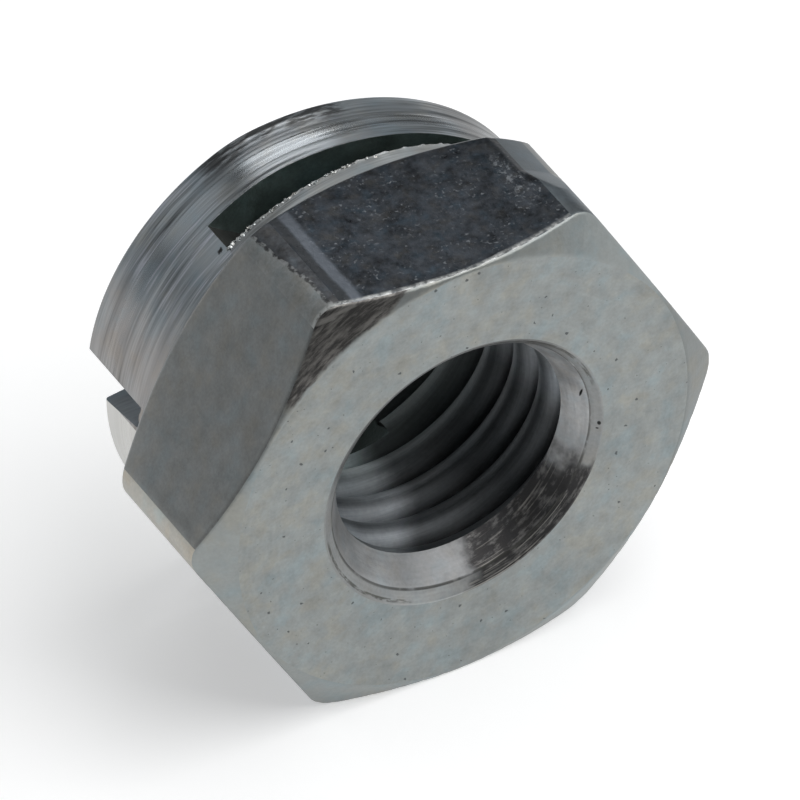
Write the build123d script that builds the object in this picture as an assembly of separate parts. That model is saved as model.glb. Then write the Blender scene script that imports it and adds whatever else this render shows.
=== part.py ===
from build123d import *
import math
import os

# One-piece slotted lock nut, M10 x 1.5, turned from hexagon bar.
#
# The nut lies on one flat of its hexagon. The thread runs along +Y: the bearing face is the plane
# y = 0 and faces -Y, and the slotted collar ends at +Y. +Z is up, square to the top flat, and the
# hexagon has a corner on each side of the X axis. The origin is the centre of the bearing face.
# Lengths are millimetres, angles degrees.
#
# The collar is sawn into two arms. Each arm grows out of a post of whole metal, passes over a saw
# slot, and is pressed down until its free end nearly meets the hexagon, so that its part of the
# thread grips the bolt. The second arm is the first one turned half a turn about the thread.

os.makedirs("parts", exist_ok=True)

# Hexagon
ACROSS_FLATS = 17.0
CORNER_RADIUS = 1.1
BEARING_DIAMETER = 16.8
CHAMFER_ANGLE = 30.0  # of both ends of the hexagon, from the bearing plane
HEXAGON_HEIGHT = 6.1  # bearing face to the foot of the collar

# One corner of the hexagon is turned down behind a shoulder, off the thread axis
SHOULDER_CORNER = 60.0  # from +X towards +Z
SHOULDER_DEPTH = 0.315  # taken off that corner's tip
SHOULDER_SHIFT = 0.63  # of the turning's axis, away from that corner
SHOULDER_AT = 3.5
SHOULDER_TAPER = 12.0  # in front of the shoulder, from the thread axis

# Collar, from the hexagon outwards
COLLAR_DIAMETER = 16.1
COLLAR_LAND = 0.7  # whole collar under the saw slots
SLOT_WIDTH = 1.25
ARM_HEIGHT = 2.15
RIM_CHAMFER = 0.08

# Bore: the thread's crests, with a two-stage lead-in at the bearing face
THREAD_MINOR_DIAMETER = 8.376
FLARE_DIAMETER = 10.3
FLARE_DEPTH = 0.25
LEAD_IN_DIAMETER = 9.6
LEAD_IN_DEPTH = 0.95
EXIT_CHAMFER = 0.3

# Saw cuts of the first arm, seen from the bearing face with +X to the right
SLOT_END_ANGLE = 126.6  # where the slot ends on the collar, from +X towards +Z
SLOT_END_SLANT = 35.0  # the end wall falls this much towards +X, to the bore
GAP_OFFSET = 1.1  # from the thread axis to the post's side of the gap at an arm's free end
GAP_WIDTH = 0.7
GAP_LEAN = 9.0  # the arm's free end leans away from the post

# Bend of each arm
BEND_OFFSET = 1.5  # along X, from the slot's end to where the bend starts
BEND_RADIUS = 12.0
TIP_CLEARANCE = 0.04  # left under the free end

# Tool overtravel
MARGIN = 1.0

collar_radius = COLLAR_DIAMETER / 2
bore_radius = THREAD_MINOR_DIAMETER / 2
slot_floor = HEXAGON_HEIGHT + COLLAR_LAND
slot_roof = slot_floor + SLOT_WIDTH
rim = slot_roof + ARM_HEIGHT
outside = ACROSS_FLATS / math.sqrt(3) + MARGIN


def turned_blank():
    """The bar after turning: faced, chamfered at both ends of the hexagon, bored and countersunk."""
    fall = math.tan(math.radians(CHAMFER_ANGLE))
    bearing_radius = BEARING_DIAMETER / 2
    flare = LEAD_IN_DIAMETER / 2
    profile = Polyline(
        (FLARE_DIAMETER / 2, 0),
        (bearing_radius, 0),
        (outside, (outside - bearing_radius) * fall),
        (outside, HEXAGON_HEIGHT - (outside - collar_radius) * fall),
        (collar_radius, HEXAGON_HEIGHT),
        (collar_radius, rim),
        (bore_radius, rim),
        (bore_radius, FLARE_DEPTH + LEAD_IN_DEPTH),
        (flare, FLARE_DEPTH),
        close=True,
    )
    post_middle = (SLOT_END_ANGLE + 180 - math.degrees(math.asin(GAP_OFFSET / collar_radius))) / 2
    return Rot(0, -post_middle, 0) * revolve(make_face(profile), Axis.Y)


def shoulder_turning():
    """What is turned off the rear half of one corner, running out in a slow taper."""
    corner_tip = (ACROSS_FLATS / 2 - CORNER_RADIUS) / math.cos(math.radians(30)) + CORNER_RADIUS
    shoulder = corner_tip - SHOULDER_DEPTH + SHOULDER_SHIFT
    beyond = outside + SHOULDER_SHIFT
    run_out = (beyond - shoulder) / math.tan(math.radians(SHOULDER_TAPER))
    profile = Polyline(
        (shoulder, SHOULDER_AT),
        (beyond, SHOULDER_AT - run_out),
        (beyond, rim),
        (shoulder, rim),
        close=True,
    )
    corner = math.radians(SHOULDER_CORNER)
    shift = Pos(-SHOULDER_SHIFT * math.cos(corner), 0, -SHOULDER_SHIFT * math.sin(corner))
    return shift * revolve(make_face(profile), Axis.Y)


def hexagon_bar():
    """Bar stock with rounded corners, as long as the nut."""
    section = RegularPolygon(ACROSS_FLATS / 2, 6, major_radius=False)
    section = fillet(section.vertices(), CORNER_RADIUS)
    return extrude(Plane.XZ * section, -rim)


def bend_line(height):
    """Side view of an arm's face: a bend, then straight until it has fallen by the slot's width."""
    start = collar_radius * math.cos(math.radians(SLOT_END_ANGLE)) + BEND_OFFSET
    reach = collar_radius - start
    drop = SLOT_WIDTH - TIP_CLEARANCE
    swing = math.hypot(reach, BEND_RADIUS - drop)
    angle = math.asin(BEND_RADIUS / swing) - math.asin((BEND_RADIUS - drop) / swing)
    bend_end = (start + BEND_RADIUS * math.sin(angle), height - BEND_RADIUS * (1 - math.cos(angle)))
    tip = (collar_radius + TIP_CLEARANCE / math.tan(angle), height - SLOT_WIDTH)
    return [TangentArc((start, height), bend_end, tangent=(1, 0)), Line(bend_end, tip)]


def across(side_view):
    """A closed side view made solid across the whole nut."""
    return extrude(make_face(side_view), outside, both=True)


def arm_plan():
    """Plan of the slot under the first arm: from its slanted end round to the far gap."""
    end = (
        collar_radius * math.cos(math.radians(SLOT_END_ANGLE)),
        collar_radius * math.sin(math.radians(SLOT_END_ANGLE)),
    )
    slant = math.radians(SLOT_END_SLANT)
    along = (math.cos(slant), -math.sin(slant))
    # the end wall runs from outside the collar to the foot of the perpendicular from the thread axis
    inward = -(end[0] * along[0] + end[1] * along[1])
    outward = outside - collar_radius
    plan = Polyline(
        (end[0] - outward * along[0], end[1] - outward * along[1]),
        (end[0] + inward * along[0], end[1] + inward * along[1]),
        (0, -GAP_OFFSET),
        (outside, -GAP_OFFSET),
        (outside, outside),
        (end[0] - outward * along[0], outside),
        close=True,
    )
    return extrude(Plane.XZ * make_face(plan), -(rim + MARGIN))


def saw_slot():
    """Slot under the first arm, closed in towards the free end by the bend."""
    roof = bend_line(slot_roof)
    rest = Polyline(roof[-1] @ 1, (-outside, slot_floor), (-outside, slot_roof), roof[0] @ 0)
    return across(roof + [rest]) & arm_plan()


def first_half(cut):
    """As much of a cut as lies on the first arm's side of the nut."""
    return cut & (Pos(0, rim, outside - GAP_OFFSET) * Box(2 * outside, 2 * rim, 2 * outside))


def rim_relief():
    """What the bend takes off the first arm's rim."""
    face = bend_line(rim)
    top = rim + MARGIN
    rest = Polyline(face[-1] @ 1, (outside, top), ((face[0] @ 0).X, top), face[0] @ 0)
    return first_half(across(face + [rest]))


def exit_taper(mouth, tangent):
    """Countersink of the bore in a rim that crosses the thread axis at mouth, at this slope."""
    seat = Plane(origin=(0, mouth, 0), z_dir=(-tangent.Y, tangent.X, 0))
    depth = EXIT_CHAMFER + MARGIN
    upright = Align.CENTER, Align.CENTER, Align.MIN
    return seat * Pos(0, 0, -EXIT_CHAMFER) * Cone(bore_radius, bore_radius + depth, depth, align=upright)


def arm_exit_taper():
    """Countersink of the first arm's straight part."""
    straight = bend_line(rim)[-1]
    tangent = straight % 0
    fall = (straight @ 0).X * tangent.Y / tangent.X
    return first_half(exit_taper((straight @ 0).Y - fall, tangent))


def end_gap():
    """Saw cut at the first arm's free end, beside the second arm's post."""
    height = rim + MARGIN - slot_floor
    lean = height * math.tan(math.radians(GAP_LEAN))
    inner = GAP_WIDTH - GAP_OFFSET
    side = Polyline(
        (slot_floor, -GAP_OFFSET),
        (slot_floor, inner),
        (slot_floor + height, inner + lean),
        (slot_floor + height, -GAP_OFFSET),
        close=True,
    )
    return extrude(Plane.YZ * make_face(side), outside)


def rim_edges(solid):
    """Outer edges of the rim, level and bent."""
    slope = math.cos(math.radians(CHAMFER_ANGLE))
    faces = [face for face in solid.faces() if face.normal_at().Y > slope and face.center().Y > slot_roof]
    middles = [(edge, edge @ 0.5) for face in faces for edge in face.edges()]
    return [edge for edge, middle in middles if math.isclose(math.hypot(middle.X, middle.Z), collar_radius)]


def both_sides(solid, cut):
    """The cut made for the first arm and again, half a turn round, for the second."""
    return solid - cut - Rot(0, 180, 0) * cut


def lock_nut():
    nut = turned_blank() & hexagon_bar() - shoulder_turning()
    nut = both_sides(nut, rim_relief())
    nut = chamfer(rim_edges(nut), RIM_CHAMFER)
    nut -= exit_taper(rim, Vector(1, 0))
    for cut in (arm_exit_taper(), saw_slot(), end_gap()):
        nut = both_sides(nut, cut)
    return nut


nut = lock_nut()
nut.label = "lock_nut"
export_step(nut, "parts/lock_nut.step")
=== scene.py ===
"""Looks of a one-piece slotted lock nut: the threaded, sawn and bent body in zinc-plated steel.

The frame is the CAD's: metres, +Y along the thread from the bearing face, +Z up, the nut lying on a
flat. Sizes are millimetres and angles degrees, as on a workshop drawing. Angles round the nut run from
+X towards +Z. Soft ends of bands of angles are radians.
"""
import math

import bmesh
import bpy
import numpy as np
from mathutils import Matrix, Vector


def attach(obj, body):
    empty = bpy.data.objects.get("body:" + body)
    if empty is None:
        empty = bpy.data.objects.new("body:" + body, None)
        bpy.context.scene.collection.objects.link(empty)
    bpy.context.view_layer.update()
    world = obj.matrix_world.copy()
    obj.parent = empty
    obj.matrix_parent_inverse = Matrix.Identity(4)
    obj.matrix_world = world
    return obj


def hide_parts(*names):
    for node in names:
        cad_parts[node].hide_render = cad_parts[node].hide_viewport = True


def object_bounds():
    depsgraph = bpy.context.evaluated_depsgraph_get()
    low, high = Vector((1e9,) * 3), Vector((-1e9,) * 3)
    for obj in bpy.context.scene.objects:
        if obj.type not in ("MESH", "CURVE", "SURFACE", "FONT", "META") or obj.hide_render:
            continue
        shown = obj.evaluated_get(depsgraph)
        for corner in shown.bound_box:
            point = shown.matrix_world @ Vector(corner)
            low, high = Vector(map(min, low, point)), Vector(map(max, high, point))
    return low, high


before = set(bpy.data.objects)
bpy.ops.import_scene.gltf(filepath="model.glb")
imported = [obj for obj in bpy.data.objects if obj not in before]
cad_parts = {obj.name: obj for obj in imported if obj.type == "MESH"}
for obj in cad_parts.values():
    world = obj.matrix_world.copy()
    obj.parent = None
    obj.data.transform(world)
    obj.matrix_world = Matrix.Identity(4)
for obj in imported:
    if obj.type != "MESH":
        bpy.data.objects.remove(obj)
cad_low, cad_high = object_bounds()

MM = 0.001
NODE = "lock_nut"

# Overall sizes, read off the frame
ACROSS_FLATS = (cad_high.z - cad_low.z) / MM
RIM = cad_high.y / MM
GROUND = cad_low.z

# Hexagon
CORNER_RADIUS = 1.1
BEARING_RADIUS = 8.4
BEARING_EDGE = 0.4  # strip of the bearing face that goes with its rounded edge
EDGE_ROUNDING = (0.12, 0.1)  # at the inner and the outer edge of a chamfer
EDGE_SHARE = 0.4  # the most that a rounding takes of a side
CHAMFER_ANGLE = 30.0
HEXAGON_HEIGHT = 6.1
SHOULDER_CORNER = 60.0
SHOULDER_DEPTH = 0.315
SHOULDER_SHIFT = 0.63
SHOULDER_AT = 3.5
SHOULDER_TAPER = 12.0

# Collar, saw slots and bend
COLLAR_RADIUS = 8.05
SLOT_FLOOR = 6.8
SLOT_ROOF = 8.05
RIM_CHAMFER = 0.08
RIM_ROUNDING = (0.15, 0.15)
RIM_EDGE = (0.6, 0.3)  # strips of the collar and of the rim that go with the rounded edge
SLOT_END_ANGLE = 126.6
SLOT_END_SLANT = 35.0
GAP_OFFSET = 1.1
GAP_WIDTH = 0.7
GAP_LEAN = 9.0
BEND_OFFSET = 1.5
BEND_RADIUS = 12.0
TIP_CLEARANCE = 0.04

# Bore and thread
MINOR_RADIUS = 4.188
MAJOR_RADIUS = 4.98
PITCH = 1.5
CREST_ROUNDING = 0.6
ROOT_AT = 1.98
ROOT_AT_ANGLE = 270.0
LEAD_IN_END = 1.2
LEAD_IN_RADIUS = 4.8
FLARE_DEPTH = 0.25
FLARE_RADIUS = 5.15
FLARE_ROUNDING = 0.05
THREAD_FADE = 0.12
MOUTH_SHIFT = (0.13, 0.15)  # the mouth of the thread lies this far off the axis, in x and z
MOUTH_SHIFT_END = 6.0
MOUTH_MARGIN = 0.05
EXIT_CHAMFER = 0.3

# Mesh density
ARM_COLUMNS = 132
POST_COLUMNS = 48
THREAD_STEP = 0.06
SHOULDER_STEP = 0.1
EDGE_ROWS = 4
WALL_ROWS = 8
FACE_ROWS = 9
RIM_ROWS = 10
CONE_ROWS = 12
SHARP_ANGLE = 32.0
WELD_DISTANCE = 0.001

# Burrs on the saw slots and nicks in the front chamfer; a ripple is a seed, then its fewest and most waves
BURR = 0.05
BURR_BAND = 0.04
BURR_RIPPLE = (3, 40, 170)
BURR_SEED = 11
BURR_GRAINS = 110
BURR_SIZE = (0.025, 0.09)
BURR_REACH = 45.0  # from the slot's end
BURR_CROWDING = 1.5
BURR_DROP = 0.06
BURR_SUNK = 0.3  # share of a grain's size
GRAIN_MESH = (6, 9)
GRAIN_REACH = (0.7, 1.2)
GRAIN_STRETCH = (0.6, 1.4)
NICK = 0.02
NICK_BAND = 0.1
NICK_RIPPLE = (5, 60, 175)
# width of the edge band that carries wear and painted highlight
WEAR_AND_SHEEN_BAND = 0.12

# Colours that more than one finish uses
ZINC = (0.287, 0.305, 0.3)
SMOOTH = (0.197, 0.204, 0.202)
# the rolled flat's dark colour is partly its own and partly a painted dark reflection
ROLLED_PAINTED_DARK = (0.053, 0.059, 0.068)
WHITE = (1.0, 1.0, 1.0)
WARM = (0.05, 0.0, -0.06)  # how far the plating's tint drifts
COOL = (-0.06, 0.01, 0.05)
DARKEST = 0.15  # least brightness that clouds leave

# Pits in the faced ends: cell, radius and share of the cells
LARGE_PITS = (1.0, 0.17, 0.35)
SMALL_PITS = (0.45, 0.08, 0.3)

# Marks on the chamfer, where the photo has them: angles, radii, and x and z
CHAMFER_MARK = (103.0, 138.0)
CHAMFER_MARK_EDGE = (8.4, 8.52)
CHAMFER_TAPER = (103.0, 113.0)
CHAMFER_TAPER_FALL = 0.28
# painted shade: the chamfer darker round its right side
CHAMFER_SHADE = (-25.0, 25.0)
CHAMFER_SCRATCHES = [((-5.1, 8.35), (-3.3, 8.72)), ((-4.9, 8.15), (-3.9, 8.4)), ((-5.3, 8.0), (-4.6, 8.15))]
SCRATCH_WIDTH = 0.07

# Marks on the rolled flat: x, or x and y; and at its left corner: angles
# painted highlight and painted shade in stripes along the rolled flat's left edge
STRIPE_PAINTED_HIGHLIGHT = (-3.8, -3.6)
STRIPE_PAINTED_SHADE = (-4.12, -3.94)
RUBBED_PATCH = ((3.6, 3.1), (0.35, 1.3))
ROLLED_CORNER = (100.0, 140.0)
ROLLED_BEND = (120.0, 123.2)
ROLLED_SIDE = (118.0, 118.7)
ROLLED_LINE = (117.9, 118.4)
ROLLED_SLANT = 0.0145  # radians for each millimetre
ROLLED_SLANT_FROM = 2.0
PAINTED_PALE_FROM = 150.0

# Shades and marks of the collar: angles, heights and x
COLLAR_LEFT = (140.0, 160.0)
COLLAR_LEFT_TINT = (0.9, 0.82, 0.77)
# painted light over the collar's top and painted shade on its right
COLLAR_PAINTED_LIGHT = (64.0, 82.0)
COLLAR_PAINTED_SHADE = (15.0, 50.0)
POLISHED = (8.6, 9.1)
RIM_DIRT = (9.2, 9.7)
RIM_DIRT_X = (-3.6, 0.6)
PAINTED_HIGHLIGHT_STREAKS = (124.0, 143.0)
PAINTED_PALE_ARM = (-185.0, -157.0)
HOLE_ANGLE = 128.2
HOLE_HEIGHT = 6.95
HOLE_SIZE = (0.012, 0.085)  # in radians round the collar, and in millimetres along it

# Shades and marks of the countersink: angles, radii, and x and z
# painted light on one side and painted shade across the top; the bottom is painted shade in the countersink
# and painted light in the flare
MOUTH_PAINTED_LIGHT = (10.0, 80.0)
MOUTH_PAINTED_BOTTOM = (-112.0, -75.0)
MOUTH_PAINTED_SHADE = (60.0, 150.0)
CHATTER = (-79.0, -30.0)
FLARE_STEP_WIDTH = 0.03
LIP = (5.04, 5.11)
LIP_ARCS = [(-168.0, -118.0), (28.0, 78.0)]
MOUTH_PITS = [((5.07, -0.18), (0.05, 0.08)), ((5.02, -0.4), (0.04, 0.03)), ((4.62, 1.0), (0.02, 0.2))]

# Shades of the thread and of the sawn faces: angles, heights, radii and x
# painted light on the thread in two bands of angles, and further in
THREAD_PAINTED_LIGHT = (-170.0, -126.0)
THREAD_DRIFT = 0.13  # radians for each millimetre
THREAD_DRIFT_END = 4.0
THREAD_PAINTED_LIGHT_UPPER = (12.0, 50.0)
THREAD_DEEP = (4.5, 7.5)
SAWN_SHADE = (5.3, 6.4)
SAWN_SHADE_X = (-4.5, 0.0)
SAW_MARKS = (0.1, 0.6, 0.1)  # length along each axis
SAW_MARKS_LEVEL = (1.5, 0.1, 1.5)

# Camera
LENS = 720.0
SENSOR = 36.0
CAMERA_AZIMUTH = -31.326
CAMERA_ELEVATION = 41.534
CAMERA_ROLL = 0.78
CAMERA_DISTANCE = 513.63
AIM = (0.278, 4.467, -0.447)
CLIP = (10.0, 10000.0)

# Floor and lamps; a lamp is its name, the direction that it shines from, its size and its power
FLOOR_REACH = 600.0
FLOOR_GLOW = 0.45
LAMP_TARGET = (0.0, 5.0, 0.0)
LAMP_DISTANCE = 300.0
LAMPS = [
    ("overhead", (0.38, -0.29, 0.87), (320.0, 320.0), 0.75),
    ("behind", (0.11, 0.64, 0.75), (160.0, 40.0), 0.08),
]

# Sky; a patch of it is a direction, its inner and outer angle, and a level
HORIZON = 0.5
SKY = 0.12
SKY_ANGLES = (62, 88)
SKY_COLOUR = (0.94, 0.98, 1.0, 1)
DARK_OPENINGS = [((-0.35, -0.93, 0.1), 25, 55, 0.1), ((0.77, 0.63, 0.1), 10, 26, 0.22)]
LIT_PANELS = [
    ((0.95, -0.2, 0.1), 20, 45, 0.9),
    ((-0.53, 0.64, 0.555), 6, 23, 0.75),
    ((0.57, 0.64, 0.51), 10, 26, 0.3),
]


def lerp(a, b, t):
    """From a to b by the share t."""
    return a + (b - a) * t


def radians(limits):
    """Limits in degrees as radians."""
    return tuple(math.radians(limit) for limit in limits)


# Centre of the hexagon's corner arcs, from the thread axis
corner_centre = (ACROSS_FLATS / 2 - CORNER_RADIUS) / math.cos(math.pi / 6)

# Plan angles of the saw cuts, at a radius, for the first arm
end_angle = math.radians(SLOT_END_ANGLE)
slant = math.radians(SLOT_END_SLANT)
end_distance = abs(COLLAR_RADIUS * math.sin(end_angle + slant))
end_foot = math.pi / 2 - slant


def slot_end(r):
    """Angle at which the slot ends."""
    return end_foot + np.arccos(end_distance / r)


def post_wall(r):
    """Angle of the post's wall beside the arm's free end."""
    return -np.arcsin(GAP_OFFSET / r)


def arm_tip(r, y):
    """Angle of the arm's free end, which leans away from the post."""
    lean = (y - SLOT_FLOOR) * math.tan(math.radians(GAP_LEAN))
    return np.arcsin((GAP_WIDTH - GAP_OFFSET + lean) / r)


arm_share = np.linspace(0, 1, ARM_COLUMNS + 1)
post_share = np.linspace(0, 1, POST_COLUMNS + 1)


def floor_columns(r):
    """Columns from the post's wall to the slot's end."""
    return lerp(post_wall(r), slot_end(r), arm_share)


def post_columns(r):
    """Columns from the slot's end to the next post wall."""
    return lerp(slot_end(r), post_wall(r) + math.pi, post_share)


def arm_columns(r, y):
    """Columns from the arm's free end to the slot's end."""
    return lerp(arm_tip(r, y), slot_end(r), arm_share)


def ring_columns(r):
    """Columns all the way round, closed, at a radius inside the collar or its own beyond it."""
    r = min(r, COLLAR_RADIUS)
    half = np.concatenate([floor_columns(r)[:-1], post_columns(r)[:-1]])
    return np.concatenate([half, half + math.pi, half[:1] + 2 * math.pi])


def hexagon_radius(phi):
    """Reach of the hexagon with rounded corners in each direction."""
    off_flat = (phi % (math.pi / 3)) - math.pi / 6
    off_corner = math.pi / 6 - np.abs(off_flat)
    chord = CORNER_RADIUS**2 - (corner_centre * np.sin(off_corner)) ** 2
    arc = corner_centre * np.cos(off_corner) + np.sqrt(np.maximum(chord, 0))
    tangent = math.atan2(CORNER_RADIUS / 2, corner_centre + CORNER_RADIUS * math.cos(math.pi / 6))
    return np.where(off_corner < tangent, arc, ACROSS_FLATS / 2 / np.cos(off_flat))


def thread_radius(phi, y):
    """Radius of the threaded wall: right-hand, with full round crests, faded in behind the lead-in."""
    root = ROOT_AT - PITCH * (phi - math.radians(ROOT_AT_ANGLE)) / (2 * math.pi)
    wave = 1 - np.abs(np.sin(math.pi * (y - root) / PITCH)) ** CREST_ROUNDING
    fade = np.clip((y - LEAD_IN_END) / THREAD_FADE, 0, 1)
    return MINOR_RADIUS + (MAJOR_RADIUS - MINOR_RADIUS) * wave * fade


def bore_radius(phi, y):
    """Radius of the threaded wall with the exit chamfer."""
    taper = MINOR_RADIUS + np.maximum(y - (RIM - EXIT_CHAMFER), 0)
    return np.maximum(thread_radius(phi, y), taper)


def bend_drop(x):
    """How far the bend lowers the first arm at x."""
    start = COLLAR_RADIUS * math.cos(end_angle) + BEND_OFFSET
    reach = COLLAR_RADIUS - start
    drop = SLOT_ROOF - SLOT_FLOOR - TIP_CLEARANCE
    swing = math.hypot(reach, BEND_RADIUS - drop)
    angle = math.asin(BEND_RADIUS / swing) - math.asin((BEND_RADIUS - drop) / swing)
    along = np.clip(x - start, 0, BEND_RADIUS * math.sin(angle))
    arc = BEND_RADIUS - np.sqrt(BEND_RADIUS**2 - along**2)
    return arc + np.maximum(x - start - BEND_RADIUS * math.sin(angle), 0) * math.tan(angle)


def bent(points):
    """The first arm's points, lowered by its bend."""
    share = np.clip((points[..., 1] - SLOT_FLOOR) / (SLOT_ROOF - SLOT_FLOOR), 0, 1)
    moved = points.copy()
    moved[..., 1] -= bend_drop(points[..., 0]) * share
    return moved


def rounded(points, radii):
    """A section of (r, y) corners with its inner corners rounded; each corner is a pair of arrays."""
    rows = [points[0]]
    for before, corner, after, radius in zip(points, points[1:], points[2:], radii):
        back = [b - c for b, c in zip(before, corner)]
        ahead = [a - c for a, c in zip(after, corner)]
        back_length, ahead_length = np.hypot(*back), np.hypot(*ahead)
        reach = np.minimum(radius, EDGE_SHARE * np.minimum(back_length, ahead_length))
        for t in np.linspace(0, 1, EDGE_ROWS):
            share_back = reach / np.maximum(back_length, 1e-9) * (1 - t) ** 2
            share_ahead = reach / np.maximum(ahead_length, 1e-9) * t**2
            rows.append([c + b * share_back + a * share_ahead for c, b, a in zip(corner, back, ahead)])
    rows.append(points[-1])
    return rows


def ripple(phi, seed, slowest, fastest):
    """Smooth random waves round the nut, about -1 to 1."""
    rng = np.random.default_rng(seed)
    total = np.zeros_like(phi)
    for turns in rng.integers(slowest, fastest, 8):
        total += np.sin(turns * phi + rng.uniform(0, 2 * math.pi))
    return total / 3


def near(value, target, reach):
    """1 at the target, falling smoothly to 0 at this reach."""
    return np.clip(1 - np.abs(value - target) / reach, 0, 1) ** 2


def sawn(phi):
    """Whether an angle on the collar lies over a saw slot."""
    wall = post_wall(COLLAR_RADIUS)
    return (phi - wall) % math.pi < slot_end(COLLAR_RADIUS) - wall


def weathered(points):
    """Sets the thread's mouth off the axis, raises burrs by the saw slots and nicks the front chamfer."""
    x, y, z = points[..., 0], points[..., 1], points[..., 2]
    r, phi = np.hypot(x, z), np.arctan2(z, x)
    mouth = FLARE_RADIUS - MOUTH_MARGIN
    hollow = np.clip((mouth - r) / (mouth - MINOR_RADIUS), 0, 1)
    hollow = np.where(y > LEAD_IN_END, r < MAJOR_RADIUS + MOUTH_MARGIN, hollow)
    shift = hollow * np.clip((MOUTH_SHIFT_END - y) / (MOUTH_SHIFT_END - LEAD_IN_END), 0, 1)
    burr = near(r, COLLAR_RADIUS, BURR_BAND) * near(y, SLOT_FLOOR, BURR_BAND) * sawn(phi)
    outward = BURR * burr * np.clip(ripple(phi, *BURR_RIPPLE), 0, 1)
    beyond = r - BEARING_RADIUS
    chamfer = near(y, beyond * math.tan(math.radians(CHAMFER_ANGLE)), NICK_BAND)
    nick = np.clip(beyond / NICK_BAND, 0, 1) * chamfer
    outward = outward - NICK * nick * np.clip(ripple(phi, *NICK_RIPPLE), 0, 1)
    stretch = 1 + outward / np.maximum(r, 1)
    return np.stack([x * stretch + MOUTH_SHIFT[0] * shift, y, z * stretch + MOUTH_SHIFT[1] * shift], -1)


class Skin:
    """Collects grids and caps of points, in millimetres, into one mesh."""

    def __init__(self):
        self.points, self.faces, self.finishes, self.wear, self.height = [], [], [], [], []
        self.turn = 0.0
        self.bend = False

    def keep(self, points, wear):
        """Bends and turns points into place, and gives the number of the first."""
        self.height.append(points[..., 1].reshape(-1))
        if self.bend:
            points = bent(points)
        c, s = math.cos(self.turn), math.sin(self.turn)
        x, y, z = points[..., 0], points[..., 1], points[..., 2]
        turned = np.stack([x * c - z * s, y, x * s + z * c], -1)
        first = sum(len(p) for p in self.points)
        self.points.append(weathered(turned).reshape(-1, 3))
        self.wear.append(np.broadcast_to(wear, points.shape[:-1]).reshape(-1))
        return first

    def grid(self, points, finish, wear=0.0):
        """A grid of rows and columns of points, in one finish or one for each column."""
        first = self.keep(points, wear)
        rows, columns = points.shape[:2]
        names = [finish] * columns if isinstance(finish, str) else finish
        for i in range(rows - 1):
            a = first + i * columns
            for j in range(columns - 1):
                self.faces.append((a + j, a + j + 1, a + j + 1 + columns, a + j + columns))
                self.finishes.append(names[j])

    def cap(self, loop, finish):
        """A flat face round a closed loop of points."""
        first = self.keep(loop, 0.0)
        self.faces.append(tuple(range(first, first + len(loop))))
        self.finishes.append(finish)


def polar(r, phi, y):
    """Points from radius, angle and height."""
    r, phi, y = np.broadcast_arrays(r, phi, y)
    return np.stack([r * np.cos(phi), y, r * np.sin(phi)], -1)


def section_grid(rows):
    """Points of section rows that lie outside the collar or on it, on the outer columns."""
    phi = ring_columns(COLLAR_RADIUS)
    return np.stack([polar(r, phi, y) for r, y in rows])


def shoulder_reach(phi, y):
    """Reach of the off-centre turning that takes one corner down, in each direction."""
    grown = max(SHOULDER_AT - y, 0) * math.tan(math.radians(SHOULDER_TAPER))
    radius = corner_centre + CORNER_RADIUS - SHOULDER_DEPTH + SHOULDER_SHIFT + grown
    off = phi - math.radians(SHOULDER_CORNER)
    return np.sqrt(radius**2 - (SHOULDER_SHIFT * np.sin(off)) ** 2) - SHOULDER_SHIFT * np.cos(off)


def side_finishes(phi):
    """Finish of each column of the hexagon's sides: rolled or smooth flats, and the corners."""
    middle = (phi[:-1] + phi[1:]) / 2
    off_corner = math.pi / 6 - np.abs(middle % (math.pi / 3) - math.pi / 6)
    flat = (middle // (math.pi / 3)).astype(int)
    names = np.where(flat % 2 == 1, "rolled", "smooth")
    tangent = math.atan2(CORNER_RADIUS / 2, ACROSS_FLATS / math.sqrt(3))
    return list(np.where(off_corner < tangent, "corner", names))


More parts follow.
